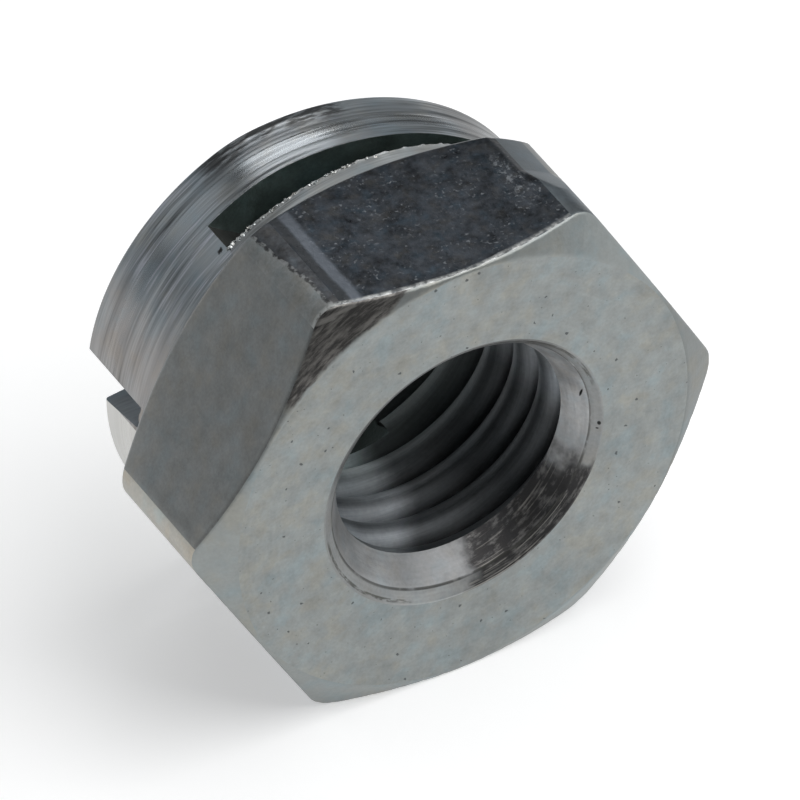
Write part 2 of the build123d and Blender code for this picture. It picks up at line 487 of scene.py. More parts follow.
def hexagon(skin):
    """Bearing face's edge, chamfers, sides with their turned shoulder and the foot of the collar."""
    phi = ring_columns(COLLAR_RADIUS)
    reach = hexagon_radius(phi)
    slope = math.tan(math.radians(CHAMFER_ANGLE))
    flat = np.ones_like(phi)
    front = (reach - BEARING_RADIUS) * slope
    run_out = SHOULDER_AT - SHOULDER_DEPTH / math.tan(math.radians(SHOULDER_TAPER))
    turned = np.minimum(reach, shoulder_reach(phi, SHOULDER_AT))
    rear = HEXAGON_HEIGHT - (turned - COLLAR_RADIUS) * slope
    front_corners = [
        (flat * (BEARING_RADIUS - BEARING_EDGE), flat * 0.0),
        (flat * BEARING_RADIUS, flat * 0.0),
        (reach, front),
        (reach, flat * run_out),
    ]
    rear_corners = [
        (turned, flat * SHOULDER_AT),
        (turned, rear),
        (flat * COLLAR_RADIUS, flat * HEXAGON_HEIGHT),
        (flat * COLLAR_RADIUS, flat * SLOT_FLOOR),
    ]

    # each finish ends inside a rounded edge
    edge = 1 + EDGE_ROWS
    rows = rounded(front_corners, EDGE_ROUNDING)
    skin.grid(section_grid(rows[:3]), "bearing")
    skin.grid(section_grid(rows[2:edge + 3]), "chamfer")
    rows.insert(-1, (reach, rows[-2][1] + WEAR_AND_SHEEN_BAND))
    wear = np.zeros((len(rows) - edge - 2, len(phi)))
    wear[:2] = 1.0
    sides = side_finishes(phi)
    skin.grid(section_grid(rows[edge + 2:]), sides, wear)
    heights = np.linspace(run_out, SHOULDER_AT, round((SHOULDER_AT - run_out) / SHOULDER_STEP))
    shoulder = [(np.minimum(reach, shoulder_reach(phi, y)), flat * y) for y in heights]
    skin.grid(section_grid(shoulder), sides)
    rows = rounded(rear_corners, EDGE_ROUNDING)
    skin.grid(section_grid(rows[:3]), sides)
    skin.grid(section_grid(rows[2:edge + 3]), "chamfer_rear")
    rows.insert(-1, (flat * COLLAR_RADIUS, flat * (SLOT_FLOOR - WEAR_AND_SHEEN_BAND)))
    wear = np.zeros((len(rows) - edge - 2, len(phi)))
    wear[-1] = sawn(phi)
    skin.grid(section_grid(rows[edge + 2:]), list(np.where(sawn(phi), "land", "collar")), wear)


def bearing_face(skin):
    """The flat ring between the countersink and the edge."""
    outer = BEARING_RADIUS - BEARING_EDGE
    radii = np.linspace(FLARE_RADIUS + FLARE_ROUNDING, outer, FACE_ROWS)
    rows = [polar(r, ring_columns(r), 0.0) for r in radii[:-1]]
    rows.append(polar(outer, ring_columns(COLLAR_RADIUS), 0.0))
    skin.grid(np.stack(rows), "bearing")


def countersink(skin):
    """Flare and lead-in cone, from the bearing face to the first thread."""
    flat = np.ones(1)
    corners = [
        (flat * (FLARE_RADIUS + FLARE_ROUNDING), flat * 0.0),
        (flat * FLARE_RADIUS, flat * 0.0),
        (flat * LEAD_IN_RADIUS, flat * FLARE_DEPTH),
        (flat * MINOR_RADIUS, flat * LEAD_IN_END),
    ]
    rows = rounded(corners, [FLARE_ROUNDING] * 2)
    steps = np.linspace(0, 1, CONE_ROWS)[1:]
    last = rows.pop()
    rows += [[lerp(a, b, t) for a, b in zip(rows[-1], last)] for t in steps]
    points = np.stack([polar(r, ring_columns(r[0]), y) for r, y in rows])
    split = 1 + EDGE_ROWS
    skin.grid(points[: split + 1], "flare")
    skin.grid(points[split:], "countersink")


def thread_rows(low, high):
    """Heights close enough together to show the thread."""
    return np.linspace(low, high, max(2, round((high - low) / THREAD_STEP) + 1))


def lower_bore(skin):
    """Threaded wall from the lead-in to the floor of the slots."""
    phi = ring_columns(MINOR_RADIUS)
    rows = [polar(bore_radius(phi, y), phi, y) for y in thread_rows(LEAD_IN_END, SLOT_FLOOR)]
    skin.grid(np.stack(rows), "thread")


def upper_half(skin):
    """One arm with its post, the slot's floor and every sawn wall, in the first arm's place."""
    turn = skin.turn

    def upper_columns(r, y):
        """Columns of the arm and of its post."""
        return np.concatenate([arm_columns(r, y), post_columns(r)[1:]])

    def bore_grid(columns, heights):
        """Threaded wall at these heights."""
        rows = []
        for y in heights:
            phi = columns(MINOR_RADIUS, y)
            rows.append(polar(bore_radius(phi + turn, y), phi, y))
        return np.stack(rows)

    def outer_grid(columns, section):
        """Outside along a section of radii and heights."""
        return np.stack([polar(r, columns(r, y), y) for r, y in section])

    def only_post(r, y):
        return post_columns(r)

    def only_floor(r, y):
        return floor_columns(r)

    def level(columns, y):
        """Level face from the thread to the outside."""
        inner = bore_radius(columns(MINOR_RADIUS, y) + turn, y)
        rows = []
        for t in np.linspace(0, 1, FACE_ROWS):
            phi = columns(lerp(MINOR_RADIUS, COLLAR_RADIUS, t), y)
            rows.append(polar(lerp(inner, COLLAR_RADIUS, t), phi, y))
        return np.stack(rows)

    # slot floor
    floor = level(only_floor, SLOT_FLOOR)
    skin.grid(floor, "slot")

    # post between floor and roof
    heights = np.linspace(SLOT_FLOOR, SLOT_ROOF, WALL_ROWS)
    post_outer = outer_grid(only_post, [(COLLAR_RADIUS, y) for y in heights])
    skin.grid(post_outer, "collar")
    post_bore = bore_grid(only_post, thread_rows(SLOT_FLOOR, SLOT_ROOF))
    skin.grid(post_bore, "thread")

    # arm and post above the roof
    underside = level(arm_columns, SLOT_ROOF)
    skin.grid(underside, "slot")
    chamfer_top = COLLAR_RADIUS - RIM_CHAMFER
    one = np.ones(1)
    edge_foot = RIM - RIM_EDGE[0]
    wall = [(COLLAR_RADIUS, y) for y in np.linspace(SLOT_ROOF, edge_foot, WALL_ROWS)]
    edge_corners = [
        (one * COLLAR_RADIUS, one * edge_foot),
        (one * COLLAR_RADIUS, one * (RIM - RIM_CHAMFER)),
        (one * chamfer_top, one * RIM),
        (one * (chamfer_top - RIM_EDGE[1]), one * RIM),
    ]
    edge = [(r[0], y[0]) for r, y in rounded(edge_corners, RIM_ROUNDING)[1:]]
    wall.insert(1, (COLLAR_RADIUS, SLOT_ROOF + WEAR_AND_SHEEN_BAND / 2))
    outer = outer_grid(upper_columns, wall + edge)
    wear = np.zeros(outer.shape[:2])
    wear[0, :ARM_COLUMNS] = np.linspace(0, 1, ARM_COLUMNS) ** 2
    skin.grid(outer, "collar", wear)
    bore = bore_grid(upper_columns, thread_rows(SLOT_ROOF, RIM))
    skin.grid(bore, "thread")
    rim_rows = np.stack([lerp(outer[-1], bore[-1], t) for t in np.linspace(0, 1, RIM_ROWS)])
    skin.grid(rim_rows, "rim")

    # free end, slot end and post wall
    def close(finish, first, *others):
        """A cap round lines of points that run on from one another and meet."""
        skin.cap(np.concatenate([first, *(line[1:] for line in others)])[:-1], finish)

    close("tip", underside[:, 0], outer[:, 0], rim_rows[:, 0], bore[::-1, 0])
    close("slot_end", floor[:, -1], post_outer[:, 0], underside[::-1, -1], post_bore[::-1, 0])
    floor_next = floor[:, 0] * np.array([-1, 1, -1])
    outer_line = (floor_next, post_outer[:, -1], outer[:, -1], rim_rows[:, -1])
    close("tip", *outer_line, bore[::-1, -1], post_bore[::-1, -1])


def lump(skin, centre, size, rng):
    """A grain of burr: a small uneven ball."""
    rings, turns = (np.linspace(0, end, n) for end, n in zip((math.pi, 2 * math.pi), GRAIN_MESH))
    reach = size * rng.uniform(*GRAIN_REACH, GRAIN_MESH)
    reach[:, -1] = reach[:, 0]
    reach[0], reach[-1] = size, size
    out = np.sin(rings)[:, None] * reach
    points = np.stack([out * np.cos(turns), np.cos(rings)[:, None] * reach, out * np.sin(turns)], -1)
    skin.grid(points * rng.uniform(*GRAIN_STRETCH, 3) + centre, "burr")


def burrs(skin):
    """Grains of burr on the front edge of the saw slot, thickest near its end."""
    rng = np.random.default_rng(BURR_SEED)
    end = slot_end(COLLAR_RADIUS)
    for _ in range(BURR_GRAINS):
        phi = end - math.radians(BURR_REACH) * rng.uniform(0, 1) ** BURR_CROWDING
        size = rng.uniform(*BURR_SIZE)
        centre = polar(COLLAR_RADIUS - BURR_SUNK * size, phi, SLOT_FLOOR - rng.uniform(0, BURR_DROP))
        lump(skin, centre, size, rng)


def nut_mesh():
    """The whole nut: the hexagon and its bore, then the two arms, half a turn apart."""
    skin = Skin()
    hexagon(skin)
    bearing_face(skin)
    countersink(skin)
    lower_bore(skin)
    skin.bend = True
    for turn in (0.0, math.pi):
        skin.turn = turn
        upper_half(skin)
        burrs(skin)
    return skin


def make_object(skin, finishes):
    """The skin as one welded object with a material slot for each finish."""
    points = np.concatenate(skin.points) * MM
    mesh = bpy.data.meshes.new("nut_skin")
    mesh.from_pydata(points.tolist(), [], skin.faces)
    for name, values in (("wear", skin.wear), ("height", skin.height)):
        attribute = mesh.attributes.new(name, "FLOAT", "POINT")
        attribute.data.foreach_set("value", np.concatenate(values).astype(np.float32))
    names = list(finishes)
    for name in names:
        mesh.materials.append(finishes[name])
    mesh.polygons.foreach_set("material_index", [names.index(f) for f in skin.finishes])
    bm = bmesh.new()
    bm.from_mesh(mesh)
    bmesh.ops.remove_doubles(bm, verts=bm.verts, dist=WELD_DISTANCE * MM)
    bmesh.ops.recalc_face_normals(bm, faces=bm.faces)
    for face in bm.faces:
        face.smooth = True
    bm.to_mesh(mesh)
    bm.free()
    mesh.set_sharp_from_angle(angle=math.radians(SHARP_ANGLE))
    nut = bpy.data.objects.new("nut_skin", mesh)
    bpy.context.collection.objects.link(nut)
    return nut


class Nodes:
    """Adds shader nodes to one tree."""

    def __init__(self, tree):
        self.tree = tree

    def node(self, kind, **settings):
        """A new node of this kind."""
        node = self.tree.nodes.new("ShaderNode" + kind)
        for name, value in settings.items():
            setattr(node, name, value)
        return node

    def fill(self, socket, value):
        """Links an input to another node's output, or sets its value."""
        if isinstance(value, bpy.types.NodeSocket):
            self.tree.links.new(value, socket)
        else:
            socket.default_value = value

    def feed(self, node, *values):
        """Fills a node's inputs in their order, and gives its first output."""
        for socket, value in zip(node.inputs, values):
            self.fill(socket, value)
        return node.outputs[0]

    def math(self, operation, *values):
        return self.feed(self.node("Math", operation=operation), *values)

    def vector(self, operation, *values):
        return self.feed(self.node("VectorMath", operation=operation), *values)

    def times(self, a, b):
        return self.math("MULTIPLY", a, b)

    def step(self, value, low, high, to_low=0.0, to_high=1.0):
        """A smooth step of the value."""
        node = self.node("MapRange", interpolation_type="SMOOTHSTEP")
        return self.feed(node, value, low, high, to_low, to_high)


class Paint(Nodes):
    """One finish: plated steel whose colour, roughness and relief come from nodes."""

    def __init__(self, name):
        self.material = bpy.data.materials.new(name)
        self.material.use_nodes = True
        super().__init__(self.material.node_tree)
        self.shader = self.tree.nodes["Principled BSDF"]
        self.shader.inputs["Metallic"].default_value = 1.0
        place = self.node("TexCoord").outputs["Object"]
        self.place = self.vector("MULTIPLY", place, (1 / MM, 1 / MM, 1 / MM))
        self.x, self.y, self.z = self.parts(self.place)
        squares = [self.math("POWER", side, 2.0) for side in (self.x, self.z)]
        self.r = self.math("SQRT", self.math("ADD", *squares))
        self.angle = self.math("ARCTAN2", self.z, self.x)

    def parts(self, vector):
        """The three numbers of a place or a colour."""
        node = self.node("SeparateXYZ")
        self.feed(node, vector)
        return node.outputs

    def spot(self, x, y, z):
        """A place put together from three numbers or sockets."""
        return self.feed(self.node("CombineXYZ"), x, y, z)

    def ring(self):
        """The place in a frame that runs round the thread axis: a unit circle, then the radius."""
        scale = self.math("DIVIDE", 1.0, self.r)
        return self.spot(self.times(self.x, scale), self.times(self.z, scale), self.r)

    def texture(self, kind, place, **settings):
        """A texture node, read at a place in its own units."""
        node = self.node(kind, **settings)
        self.fill(node.inputs["Vector"], place)
        node.inputs["Scale"].default_value = 1.0
        return node

    def noise(self, size, seed, detail=2.0, roughness=0.5, place=None):
        """Clouds from 0 to 1, with features of this size: one number, or one for each axis."""
        scale = tuple(1 / s for s in np.broadcast_to(size, 3))
        start = self.place if place is None else place
        moved = self.vector("MULTIPLY_ADD", start, scale, (seed * 7.3, seed * 3.1, seed * 5.7))
        node = self.texture("TexNoise", moved)
        node.inputs["Detail"].default_value = detail
        node.inputs["Roughness"].default_value = roughness
        return node.outputs[0]

    def band(self, value, low, high, soft):
        """1 between two values and 0 outside, with soft ends."""
        rise = self.step(value, low - soft, low)
        return self.times(rise, self.step(value, high, high + soft, 1.0, 0.0))

    def arc(self, limits, soft, angle=None):
        """1 between two angles in degrees and 0 outside, with soft ends in radians."""
        return self.band(self.angle if angle is None else angle, *radians(limits), soft)

    def ramp(self, value, slope, base=1.0):
        """The base plus the slope times the value."""
        return self.math("MULTIPLY_ADD", value, slope, base)

    def total(self, base, *terms):
        """The base plus each term's size times how far its cloud is from its middle."""
        for cloud, size in terms:
            base = self.ramp(self.math("SUBTRACT", cloud, 0.5), size, base)
        return base

    def pits(self, cell, radius, share, seed=0):
        """Uneven spots over an end face: at most one in each cell, in this share of the cells."""
        ragged = self.noise(radius, 7)
        reach = 1.2 * radius
        place = self.spot(self.total(self.x, (ragged, reach)), self.total(self.z, (ragged, -reach)), 0.0)
        shift = (seed * 3.7, seed * 2.3, 0.0)
        moved = self.vector("MULTIPLY_ADD", place, (1 / cell, 1 / cell, 0.0), shift)
        node = self.texture("TexVoronoi", moved, voronoi_dimensions="2D")
        size = self.times(node.outputs["Color"], radius / cell)
        shape = self.step(self.math("DIVIDE", node.outputs["Distance"], size), 0.6, 1.1, 1.0, 0.0)
        return self.times(shape, self.math("LESS_THAN", self.parts(node.outputs["Color"])[1], share))

    def mark(self, u, w, centre, size, soft):
        """An oval patch on a face, 1 inside."""
        du = self.math("DIVIDE", self.math("SUBTRACT", u, centre[0]), size[0])
        dw = self.math("DIVIDE", self.math("SUBTRACT", w, centre[1]), size[1])
        away = self.math("ADD", self.math("POWER", du, 2.0), self.math("POWER", dw, 2.0))
        return self.step(away, 1 - soft, 1 + soft, 1.0, 0.0)

    def line(self, start, end, width):
        """A straight scratch over an end face, from start to end."""
        length = math.dist(start, end)
        along = ((end[0] - start[0]) / length, (end[1] - start[1]) / length)
        du = self.math("SUBTRACT", self.x, start[0])
        dw = self.math("SUBTRACT", self.z, start[1])
        run = self.math("ADD", self.times(du, along[0]), self.times(dw, along[1]))
        off = self.math("SUBTRACT", self.times(du, along[1]), self.times(dw, along[0]))
        across = self.step(self.math("ABSOLUTE", off), width * 0.3, width, 1.0, 0.0)
        return self.times(across, self.band(run, 0.0, length, 0.2 * length))

    def stored(self, name):
        """A value stored on the mesh: an edge band for wear and painted highlight, or the height before the
        bend.
        """
        return self.node("Attribute", attribute_name=name).outputs["Fac"]

    def mix(self, a, b, share):
        """A colour between two, each a socket or three numbers."""
        node = self.node("Mix", data_type="RGBA")
        self.fill(node.inputs[0], share)
        for socket, value in ((node.inputs[6], a), (node.inputs[7], b)):
            self.fill(socket, (*value, 1.0) if isinstance(value, tuple) else value)
        return node.outputs[2]

    def over(self, under, colour, mask, strength):
        """A colour laid over another, where the mask is 1 and as strongly as this."""
        return self.mix(under, colour, self.times(mask, strength))

    def light(self, colour, brightness):
        """A colour made lighter or darker by a factor."""
        node = self.node("VectorMath", operation="SCALE")
        self.fill(node.inputs[0], colour)
        self.fill(node.inputs["Scale"], self.math("MAXIMUM", brightness, DARKEST))
        return node.outputs[0]

    def tinted(self, colour, seed, patch=2.2, strength=1.0):
        """Plating's colour, drifting between a warm and a bluish tint in patches."""
        warm = tuple(c * (1 + strength * k) for c, k in zip(colour, WARM))
        cool = tuple(c * (1 + strength * k) for c, k in zip(colour, COOL))
        drift = self.noise(patch, seed, 3.0, 0.55)
        tint = self.mix(cool, colour, self.step(drift, 0.3, 0.5))
        return self.mix(tint, warm, self.step(drift, 0.5, 0.7))

    def finish(self, colour, roughness, relief, depth):
        """Joins the colour, the roughness and a relief of this depth in millimetres to the shader."""
        bump = self.node("Bump")
        bump.inputs["Distance"].default_value = depth * MM
        self.fill(bump.inputs["Height"], relief)
        self.fill(self.shader.inputs["Base Color"], colour)
        self.fill(self.shader.inputs["Roughness"], roughness)
        self.fill(self.shader.inputs["Normal"], bump.outputs[0])
        return self.material


def bearing_finish(name="bearing"):
    """Faced end: satin, with soft blotches, faint turning marks, fine grain and a few pits."""
    paint = Paint(name)
    grain = paint.noise(0.12, 1, 3.0)
    blotch = paint.noise(0.6, 2, 5.0, 0.65)
    cloud = paint.noise(2.2, 5)
    turning = paint.noise((0.6, 0.6, 0.11), 3, place=paint.ring())
    value = paint.total(1.0, (grain, 0.3), (blotch, 0.75), (cloud, 0.3), (turning, 0.12))
    pits = paint.math("MAXIMUM", paint.pits(*LARGE_PITS), paint.times(paint.pits(*SMALL_PITS, 1), 0.7))
    colour = paint.light(paint.tinted(ZINC, 4, 0.9), value)
    colour = paint.over(colour, (0.07, 0.075, 0.08), pits, 0.8)
    roughness = paint.total(0.44, (blotch, 0.16), (grain, 0.1))
    relief = paint.total(0.5, (grain, 0.6), (turning, 0.3), (pits, -1.0))
    return paint.finish(colour, roughness, relief, 0.006)


def chamfer_finish():
    """Turned chamfer: as the faced end, but dark and scratched at the struck corner."""
    paint = Paint("chamfer")
    grain = paint.noise(0.12, 1, 3.0)
    blotch = paint.noise(0.55, 2, 3.0, 0.6)
    value = paint.total(1.0, (grain, 0.2), (blotch, 0.26))
    colour = paint.light(paint.tinted(ZINC, 4, 1.3), value)
    taper = paint.step(paint.angle, *radians(CHAMFER_TAPER), -CHAMFER_TAPER_FALL, 0.0)
    inner = paint.math("ADD", paint.total(paint.r, (blotch, 0.4)), taper)
    struck = paint.times(paint.arc(CHAMFER_MARK, 0.05), paint.step(inner, *CHAMFER_MARK_EDGE))
    drag = paint.noise((0.07, 0.07, 0.1), 6, 4.0, 0.65, paint.ring())
    dirt = paint.mix((0.08, 0.077, 0.075), (0.26, 0.25, 0.235), paint.step(drag, 0.35, 0.7))
    colour = paint.mix(colour, dirt, struck)
    # painted shade: darker round the right side
    colour = paint.light(colour, paint.ramp(paint.arc(CHAMFER_SHADE, 0.2), -0.24))
    for start, end in CHAMFER_SCRATCHES:
        colour = paint.over(colour, (0.36, 0.35, 0.33), paint.line(start, end, SCRATCH_WIDTH), 0.7)
    relief = paint.total(0.5, (grain, 0.8), (drag, 0.8))
    return paint.finish(colour, paint.total(0.42, (blotch, 0.1)), relief, 0.008)


def rolled_finish():
    """Rolled flat: dark, partly in painted shade, mottled and pitted, with bright specks, a rubbed patch
    and a beaded edge of painted highlight.
    """
    paint = Paint("rolled")
    grain = paint.noise(0.2, 11, 2.0, 0.6)
    mottle = paint.noise(0.6, 12, 5.0, 0.65)
    cloud = paint.noise(2.0, 13)
    value = paint.total(1.0, (grain, 1.0), (mottle, 2.8), (cloud, 0.8))
    colour = paint.light(paint.tinted(ROLLED_PAINTED_DARK, 14, 0.6, 2.0), value)
    specks = paint.step(paint.noise(0.13, 15, 1.0), 0.57, 0.76)
    patchy = paint.step(paint.noise(0.7, 16), 0.4, 0.7)
    rubbed = paint.mark(paint.x, paint.y, *RUBBED_PATCH, 0.8)
    rubbed = paint.times(rubbed, paint.step(paint.noise(0.2, 17, 4.0, 0.7), 0.5, 0.64))
    white = paint.math("MAXIMUM", paint.times(specks, patchy), rubbed)
    colour = paint.over(colour, (0.27, 0.29, 0.31), white, 0.75)
    colour = rolled_stripes(paint, colour)
    # painted highlight: a bright beaded line along the flat's front edge
    beads = paint.step(paint.noise(0.25, 19, 3.0), 0.34, 0.62, 0.25, 1.0)
    colour = paint.over(colour, (0.62, 0.63, 0.62), paint.stored("wear"), beads)
    roughness = paint.total(0.36, (mottle, 0.3), (grain, 0.2))
    relief = paint.total(0.5, (grain, 0.6), (mottle, 1.1), (specks, 0.12))
    return paint.finish(colour, roughness, relief, 0.012)


def rolled_stripes(paint, colour):
    """A light and a dark stripe along the rolled flat's left edge: painted highlight and painted shade."""
    wobble = paint.total(paint.x, (paint.noise(0.7, 18), 0.14))
    light = paint.band(wobble, *STRIPE_PAINTED_HIGHLIGHT, 0.22)
    dark = paint.band(wobble, *STRIPE_PAINTED_SHADE, 0.13)
    colour = paint.over(colour, (0.16, 0.178, 0.205), light, 0.9)
    return paint.over(colour, (0.058, 0.062, 0.067), dark, 0.85)


def marbled(paint, colour):
    """The smooth flat's colour, with the grain and the soft blotches in it."""
    grain = paint.noise(0.1, 21)
    blotch = paint.noise(0.7, 22, 5.0, 0.7)
    cloud = paint.noise(1.8, 24)
    value = paint.total(1.0, (grain, 0.3), (blotch, 0.75), (cloud, 0.3))
    return paint.light(paint.tinted(colour, 23, 0.9, 0.8), value), grain, blotch


def smooth_finish(name, colour):
    """Smooth flat: satin, marbled with faint patches of colour, dark along a worn edge."""
    paint = Paint(name)
    tint, grain, blotch = marbled(paint, colour)
    edge = paint.times(paint.stored("wear"), paint.step(grain, 0.3, 0.6))
    tint = paint.over(tint, (0.14, 0.14, 0.135), edge, 0.7)
    relief = paint.total(0.5, (grain, 0.5), (blotch, 0.8))
    return paint.finish(tint, paint.total(0.36, (blotch, 0.16)), relief, 0.006)


def corner_finish():
    """Corners of the bar: bluish where turned down, pale at the lower left in painted light, rough where
    rolled.
    """
    paint = Paint("corner")
    grain = paint.noise(0.12, 31, 3.0, 0.6)
    cloud = paint.noise(0.6, 32, 3.0)
    turned = paint.tinted((0.158, 0.182, 0.2), 33)
    # painted light: the lower-left corners made pale
    pale = paint.tinted((0.43, 0.42, 0.385), 34, 1.0, 1.2)
    lower = paint.math("GREATER_THAN", paint.math("ABSOLUTE", paint.angle), math.radians(PAINTED_PALE_FROM))
    rolled = paint.arc(ROLLED_CORNER, 0.05)
    rough, blotch = rolled_corner(paint, cloud)
    colour = paint.mix(paint.mix(turned, pale, lower), rough, rolled)
    colour = paint.light(colour, paint.total(1.0, (grain, 0.5), (cloud, 0.3)))
    # painted highlight along the rolled corner's front edge
    edge = paint.times(paint.stored("wear"), paint.step(grain, 0.3, 0.5))
    colour = paint.over(colour, (0.5, 0.51, 0.5), edge, rolled)
    roughness = paint.total(0.5, (grain, 0.15), (rolled, 0.1), (blotch, 0.1))
    relief = paint.total(0.5, (grain, 0.8), (cloud, 0.5))
    return paint.finish(colour, roughness, relief, 0.008)


def rolled_corner(paint, cloud):
    """The rolled corner: scaly, then a speckled line that slants backwards, then smooth and lighter in
    painted light.
    """
    lumps = paint.noise(0.3, 36, 3.0, 0.6)
    behind = paint.math("MAXIMUM", paint.math("SUBTRACT", paint.y, ROLLED_SLANT_FROM), 0.0)
    ragged = paint.total(paint.angle, (cloud, 0.024), (lumps, 0.016))
    place = paint.ramp(behind, -ROLLED_SLANT, ragged)
    smooth, _, blotch = marbled(paint, SMOOTH)
    # painted light: the smooth side made lighter, most near the bend
    smooth = paint.light(smooth, paint.step(paint.angle, *radians(ROLLED_BEND), 1.55, 1.25))
    scaly = paint.tinted((0.105, 0.11, 0.118), 37, 0.6)
    scaly = paint.light(scaly, paint.total(1.0, (lumps, 1.8), (cloud, 0.6)))
    rough = paint.mix(scaly, smooth, paint.step(place, *radians(ROLLED_SIDE)))
    line = paint.arc(ROLLED_LINE, 0.005, place)
    specks = paint.step(paint.noise(0.22, 35), 0.42, 0.62)
    speckled = paint.mix((0.055, 0.055, 0.055), (0.42, 0.43, 0.43), specks)
    return paint.over(rough, speckled, line, 0.65), blotch


def turned_finish(name, colour, roughness, bands):
    """Turned collar: bands and fine grooves round it that break its highlight into streaks."""
    paint = Paint(name)
    height = paint.stored("height")
    place = paint.spot(paint.x, height, paint.z)
    band = paint.noise((14.0, 0.42, 14.0), 41, 1.0, 0.5, place)
    groove = paint.noise((3.0, 0.1, 3.0), 42, 2.0, 0.6, place)
    cloud = paint.noise((1.6, 0.6, 1.6), 43, 3.0, 0.5, place)
    fine = paint.noise((14.0, 0.17, 14.0), 47, 0.0, 0.5, place)
    zone = paint.step(paint.noise((3.0, 1.3, 3.0), 50, 1.0, 0.5, place), 0.4, 0.6, 0.3, 1.35)
    left = paint.step(paint.angle, *radians(COLLAR_LEFT))
    top = paint.arc(COLLAR_PAINTED_LIGHT, 0.15)
    right = paint.arc(COLLAR_PAINTED_SHADE, 0.3)
    depth = paint.times(paint.ramp(left, -0.8, 1.7), zone)
    value = paint.total(1.0, (band, 0.8), (cloud, 0.5), (groove, depth))
    # painted light over the top and painted shade on the right, by angle
    value = paint.times(value, paint.ramp(top, 0.5, paint.ramp(right, -0.78)))
    colour = paint.mix(colour, tuple(c * k for c, k in zip(colour, COLLAR_LEFT_TINT)), left)
    tint = paint.vector("MULTIPLY", paint.tinted(WHITE, 44, 1.2, 0.9), colour)
    tint = collar_marks(paint, paint.light(tint, value), place, height)
    polished = paint.band(height, *POLISHED, 0.08)
    waves = paint.times(paint.ramp(polished, -0.75), bands)
    relief = paint.total(0.5, (band, waves), (fine, paint.times(zone, 0.3)))
    return paint.finish(tint, paint.total(roughness, (cloud, 0.15), (polished, -0.06)), relief, 0.03)


def collar_marks(paint, tint, place, height):
    """Dirt by the rim, painted sheen on the second arm, painted highlight streaks, a hole by the slot
    painted black as shade, and a chipped edge.
    """
    rim = paint.times(paint.step(height, *RIM_DIRT), paint.band(paint.x, *RIM_DIRT_X, 0.8))
    mottle = paint.step(paint.noise((0.6, 0.16, 0.6), 45, 3.0, 0.6, place), 0.42, 0.62, 1.0, 0.0)
    tint = paint.over(tint, (0.06, 0.06, 0.06), rim, paint.times(mottle, 0.85))
    # painted sheen: the second arm's outer face made pale
    pale = paint.arc(PAINTED_PALE_ARM, 0.15)
    tint = paint.over(tint, (0.6, 0.59, 0.56), pale, 0.85)
    # painted highlight: light streaks round the collar's left side
    streaks = paint.step(paint.noise((2.0, 0.09, 2.0), 49, 1.0, 0.5, place), 0.53, 0.7)
    streaks = paint.times(streaks, paint.arc(PAINTED_HIGHLIGHT_STREAKS, 0.15))
    tint = paint.over(tint, (0.5, 0.51, 0.57), streaks, 0.7)
    # painted shade: the small hole by the slot's end painted black
    ragged = paint.noise(0.1, 48, place=place)
    across = paint.total(paint.angle, (ragged, 0.02))
    along = paint.total(height, (ragged, -0.2))
    hole = paint.mark(across, along, (math.radians(HOLE_ANGLE), HOLE_HEIGHT), HOLE_SIZE, 0.8)
    tint = paint.mix(tint, (0.03, 0.03, 0.03), hole)
    chips = paint.times(paint.stored("wear"), paint.step(paint.noise(0.13, 46, place=place), 0.4, 0.52))
    return paint.over(tint, (0.6, 0.61, 0.6), chips, 0.85)


def mouth_finish(name, colour, light_gain, bottom_gain):
    """Countersink: painted light and painted shade by angle, dark and scored where the cutter chattered."""
    paint = Paint(name)
    ring = paint.ring()
    turning = paint.noise((0.5, 0.5, 0.09), 51, 1.0, 0.5, ring)
    grain = paint.noise(0.12, 52, 3.0)
    cloud = paint.noise(0.8, 53, 3.0)
    scored = paint.noise(0.11, 55, 4.0, 0.65, ring)
    # painted light and painted shade by angle, not marks of the cut
    lit_side = paint.arc(MOUTH_PAINTED_LIGHT, 0.5)
    dull = paint.arc(MOUTH_PAINTED_BOTTOM, 0.3)
    upper = paint.arc(MOUTH_PAINTED_SHADE, 0.4)
    shade = paint.ramp(dull, bottom_gain, paint.ramp(lit_side, light_gain))
    shade = paint.times(shade, paint.ramp(upper, -0.4))
    value = paint.times(paint.total(1.0, (turning, 0.25), (grain, 0.3), (cloud, 0.5)), shade)
    colour = paint.light(paint.tinted(colour, 54, 0.8, 0.6), value)
    wobble = paint.total(paint.angle, (cloud, 0.6))
    dirt = paint.mix((0.03, 0.028, 0.029), (0.2, 0.195, 0.19), paint.step(scored, 0.46, 0.72))
    arcs = paint.step(paint.noise((0.8, 0.8, 0.045), 57, 1.0, 0.5, ring), 0.55, 0.75)
    arcs = paint.times(arcs, paint.step(cloud, 0.45, 0.55))
    dirt = paint.over(dirt, (0.42, 0.4, 0.37), arcs, 0.8)
    colour = paint.over(colour, dirt, paint.arc(CHATTER, 0.25, wobble), 0.9)
    colour = mouth_marks(paint, colour, cloud, scored, wobble)
    relief = paint.total(0.5, (turning, 0.5), (grain, 0.4), (scored, 0.8))
    return paint.finish(colour, paint.total(0.5, (cloud, 0.2)), relief, 0.01)


